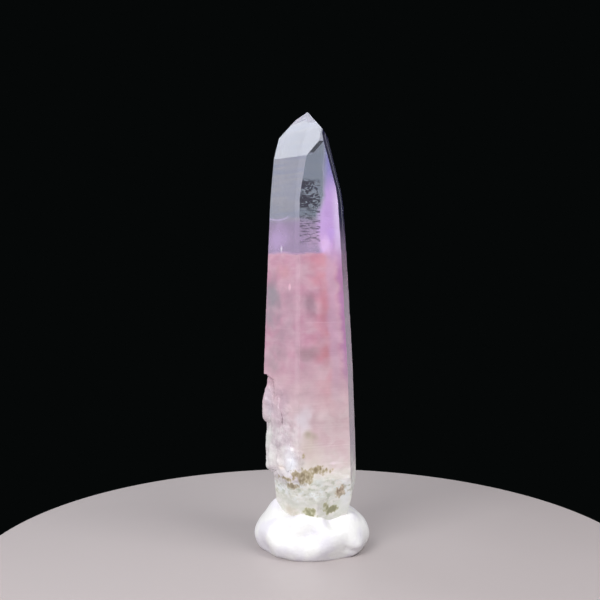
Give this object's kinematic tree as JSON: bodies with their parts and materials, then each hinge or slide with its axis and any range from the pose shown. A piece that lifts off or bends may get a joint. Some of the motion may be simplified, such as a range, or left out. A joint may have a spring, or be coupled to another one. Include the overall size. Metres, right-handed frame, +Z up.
{
  "type": "amethyst crystal specimen",
  "caption": "Slender tapering amethyst crystal with a faceted tip and a rough foot, standing upright in a pad of white putty.",
  "frame": {"origin": "middle of the putty pad's flat underside, on the surface it rests on", "axes": "+Z up along the crystal to its tip, -Y towards the side that the picture shows, +X to that view's right"},
  "size_m": [0.0174, 0.0162, 0.0664],
  "materials": {
    "amethyst": "clear to milky pink and violet quartz, polished natural faces, frosted and mud-stained low down",
    "putty": "soft white, matte to satin"
  },
  "bodies": {
    "root": {"amethyst_crystal": "amethyst", "putty_pad": "putty"}
  },
  "joints": []
}
